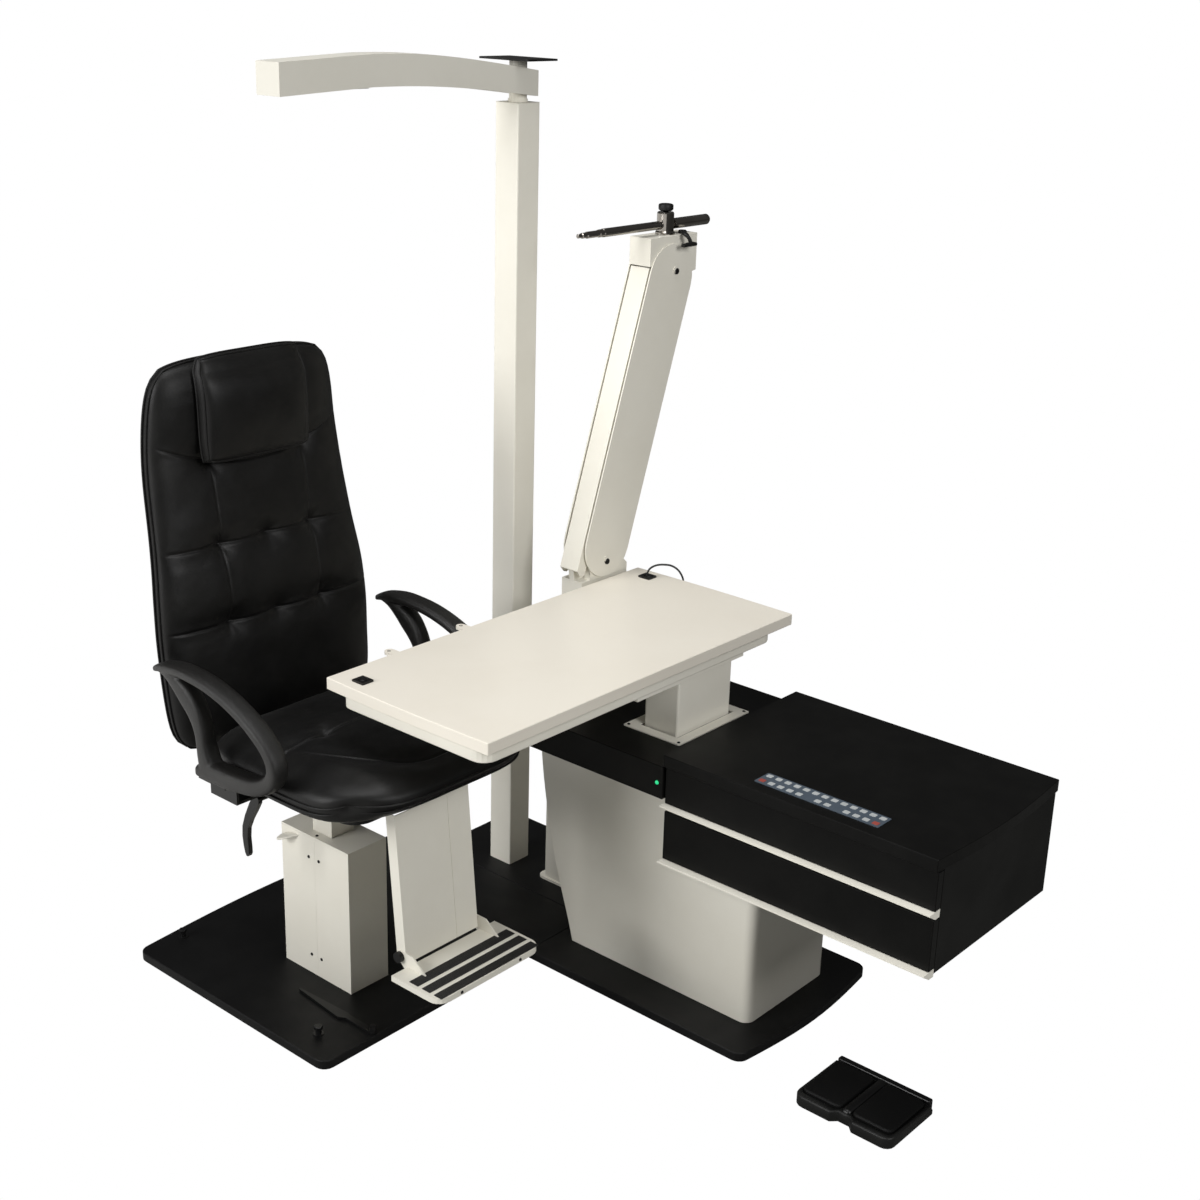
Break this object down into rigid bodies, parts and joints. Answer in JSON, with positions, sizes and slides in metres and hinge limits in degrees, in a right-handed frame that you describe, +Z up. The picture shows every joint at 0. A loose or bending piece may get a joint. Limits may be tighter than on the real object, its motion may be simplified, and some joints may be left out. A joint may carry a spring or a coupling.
{
  "type": "ophthalmic refraction unit",
  "caption": "Padded patient chair on a lifting column beside an instrument table, a drawer console with keypad, a refractor arm on a parallelogram link, a lamp column and a twin foot switch",
  "frame": {"origin": "on the floor under the middle of the square lamp column", "axes": "+X is the way the seated patient faces, +Y runs from the chair to the unit's far side, +Z is up"},
  "size_m": [1.605, 1.3275, 1.8652],
  "materials": {
    "cream_paint": "satin powder coat",
    "black_plate": "fine textured powder coat",
    "black_laminate": "matte laminate board",
    "ivory_laminate": "satin laminate board",
    "black_leather": "soft sheen",
    "black_plastic": "grained",
    "black_steel": "satin",
    "bright_steel": "ground",
    "dark_chrome": "polished",
    "handle_cream": "extruded profile",
    "keypad_slate": "membrane",
    "lamp_lens": "diffuser",
    "black_rubber": "matte",
    "cream_shell": "satin moulding"
  },
  "bodies": {
    "base": {"chair_base_plate": "black_plate", "unit_base_plate": "black_plate", "column_cover_rear": "cream_paint", "column_cover_front": "cream_paint", "column_cap": "cream_paint", "chair_lift_guide": "bright_steel", "lamp_pole": "cream_paint", "lamp_pole_bush": "cream_paint", "pedestal_housing": "cream_paint", "table_lift_guide": "bright_steel", "console_deck": "black_laminate", "console_worktop": "black_laminate", "drawer_carcass": "black_laminate", "keypad_panel": "keypad_slate", "column_trim_plate": "cream_paint", "refractor_column": "cream_paint", "foot_switch_housing": "black_plastic"},
    "lock_pedal_arm": {"lock_pedal": "black_steel"},
    "swivel_lever": {"swivel_lock_lever": "cream_paint"},
    "chair_lift_mast": {"chair_mast": "bright_steel"},
    "seat": {"tilt_mechanism": "black_steel", "recline_pin": "bright_steel", "seat_pan": "black_plastic", "seat_cushion": "black_leather", "armrest_near": "black_plastic", "armrest_far": "black_plastic", "armrest_crossbar": "black_steel", "footrest_support": "cream_paint", "footrest_pin": "black_steel"},
    "back": {"back_bar": "black_steel", "backrest_cushion": "black_leather", "headrest_pillow": "black_leather"},
    "recline_handle": {"recline_lever": "black_plastic"},
    "tension_adjuster": {"tension_knob": "black_plastic"},
    "foot_step": {"footplate": "cream_paint"},
    "table_lifter": {"table_column": "cream_paint", "table_head": "cream_paint"},
    "table_top": {"table_tray": "cream_paint", "table_board": "ivory_laminate", "socket_near": "black_plastic", "socket_far": "black_plastic", "table_cable": "black_rubber"},
    "upper_drawer_unit": {"upper_drawer": "black_laminate", "upper_drawer_handle": "handle_cream"},
    "lower_drawer_unit": {"lower_drawer": "black_laminate", "lower_drawer_handle": "handle_cream"},
    "refractor_fork": {"swivel_fork": "cream_paint"},
    "refractor_arm": {"arm_housing": "cream_paint"},
    "refractor_front_link": {"front_link": "cream_paint"},
    "refractor_head": {"head_block": "cream_paint"},
    "clamp_swivel": {"rod_clamp": "dark_chrome"},
    "clamp_rod": {"refractor_rod": "dark_chrome"},
    "clamp_handle": {"clamp_knob": "black_plastic"},
    "head_lock": {"head_lock_lever": "black_plastic"},
    "lamp_swing": {"lamp_spindle": "cream_paint", "lamp_arm": "cream_shell", "lamp_lens": "lamp_lens"},
    "projector_tray": {"projector_plate": "black_steel"},
    "left_pedal": {"left_treadle": "black_rubber"},
    "right_pedal": {"right_treadle": "black_rubber"}
  },
  "joints": [
    {"name": "chair_lift", "type": "slide", "parent": "base", "child": "chair_lift_mast", "axis": [0, 0, 1], "range_m": [-0.08, 0]},
    {"name": "seat_swivel", "type": "hinge", "parent": "chair_lift_mast", "child": "seat", "pos_m": [0.0775, -0.608, 0.44], "axis": [0, 0, 1], "range_deg": [0, 12]},
    {"name": "back_recline", "type": "hinge", "parent": "seat", "child": "back", "pos_m": [-0.042, -0.608, 0.478], "axis": [0, -1, 0], "range_deg": [0, 20]},
    {"name": "recline_lever_pull", "type": "hinge", "parent": "seat", "child": "recline_handle", "pos_m": [0.067, -0.7903, 0.474], "axis": [0, 1, 0], "range_deg": [0, 15], "stiffness_Nm_per_rad": 1.5, "springref_deg": -17.19},
    {"name": "tension_knob_turn", "type": "hinge", "parent": "seat", "child": "tension_adjuster", "pos_m": [0.013, -0.7683, 0.458], "axis": [0, 1, 0], "continuous": true},
    {"name": "footplate_fold", "type": "hinge", "parent": "seat", "child": "foot_step", "pos_m": [0.386, -0.608, 0.22], "axis": [0, -1, 0], "range_deg": [0, 85]},
    {"name": "lock_pedal_swing", "type": "hinge", "parent": "base", "child": "lock_pedal_arm", "pos_m": [0.316, -0.7215, 0.0203], "axis": [0, 0, 1], "range_deg": [0, 20]},
    {"name": "swivel_lever_swing", "type": "hinge", "parent": "base", "child": "swivel_lever", "pos_m": [0.04014, -0.64536, 0.3456], "axis": [0, 0, 1], "range_deg": [0, 12]},
    {"name": "table_lift", "type": "slide", "parent": "base", "child": "table_lifter", "axis": [0, 0, 1], "range_m": [0, 0.25]},
    {"name": "table_slide", "type": "slide", "parent": "table_lifter", "child": "table_top", "axis": [0, 1, 0], "range_m": [-0.08, 0.3]},
    {"name": "upper_drawer_slide", "type": "slide", "parent": "base", "child": "upper_drawer_unit", "axis": [0, -1, 0], "range_m": [0, 0.3]},
    {"name": "lower_drawer_slide", "type": "slide", "parent": "base", "child": "lower_drawer_unit", "axis": [0, -1, 0], "range_m": [0, 0.3]},
    {"name": "refractor_swivel", "type": "hinge", "parent": "base", "child": "refractor_fork", "pos_m": [0.186, 0.068, 0.766], "axis": [0, 0, 1], "range_deg": [0, 75]},
    {"name": "refractor_lift", "type": "hinge", "parent": "refractor_fork", "child": "refractor_arm", "pos_m": [0.186, 0.068, 0.808], "axis": [-1, 0, 0], "range_deg": [-47, 0]},
    {"name": "front_link_swing", "type": "hinge", "parent": "refractor_fork", "child": "refractor_front_link", "pos_m": [0.186, -0.00052, 0.79368], "axis": [-1, 0, 0], "range_deg": [-47, 0]},
    {"name": "head_level", "type": "hinge", "parent": "refractor_arm", "child": "refractor_head", "pos_m": [0.186, 0.26899, 1.41931], "axis": [-1, 0, 0], "range_deg": [0, 47]},
    {"name": "rod_clamp_swivel", "type": "hinge", "parent": "refractor_head", "child": "clamp_swivel", "pos_m": [0.186, 0.26899, 1.49401], "axis": [0, 0, 1], "range_deg": [-20, 20]},
    {"name": "rod_slide", "type": "slide", "parent": "clamp_swivel", "child": "clamp_rod", "axis": [0, 1, 0], "range_m": [0, 0.1]},
    {"name": "clamp_knob_turn", "type": "hinge", "parent": "clamp_swivel", "child": "clamp_handle", "pos_m": [0.186, 0.26899, 1.54131], "axis": [0, 0, 1], "continuous": true},
    {"name": "head_lock_turn", "type": "hinge", "parent": "refractor_head", "child": "head_lock", "pos_m": [0.2025, 0.30899, 1.49401], "axis": [0, 0, 1], "range_deg": [-15, 30]},
    {"name": "lamp_swivel", "type": "hinge", "parent": "base", "child": "lamp_swing", "pos_m": [0, 0, 1.763], "axis": [0, 0, 1], "range_deg": [-170, 170]},
    {"name": "projector_plate_turn", "type": "hinge", "parent": "lamp_swing", "child": "projector_tray", "pos_m": [0, 0, 1.8403], "axis": [0, 0, 1], "continuous": true},
    {"name": "left_treadle_press", "type": "hinge", "parent": "base", "child": "left_pedal", "pos_m": [1.098, -0.1696, 0.0063], "axis": [1, 0, 0], "range_deg": [0, 3.5], "stiffness_Nm_per_rad": 6, "springref_deg": -8.59},
    {"name": "right_treadle_press", "type": "hinge", "parent": "base", "child": "right_pedal", "pos_m": [1.21, -0.1696, 0.0063], "axis": [1, 0, 0], "range_deg": [0, 3.5], "stiffness_Nm_per_rad": 6, "springref_deg": -8.59}
  ],
  "couplings": [
    {"joint": "front_link_swing", "follows": "refractor_lift", "ratio": 1},
    {"joint": "head_level", "follows": "refractor_lift", "ratio": -1}
  ]
}
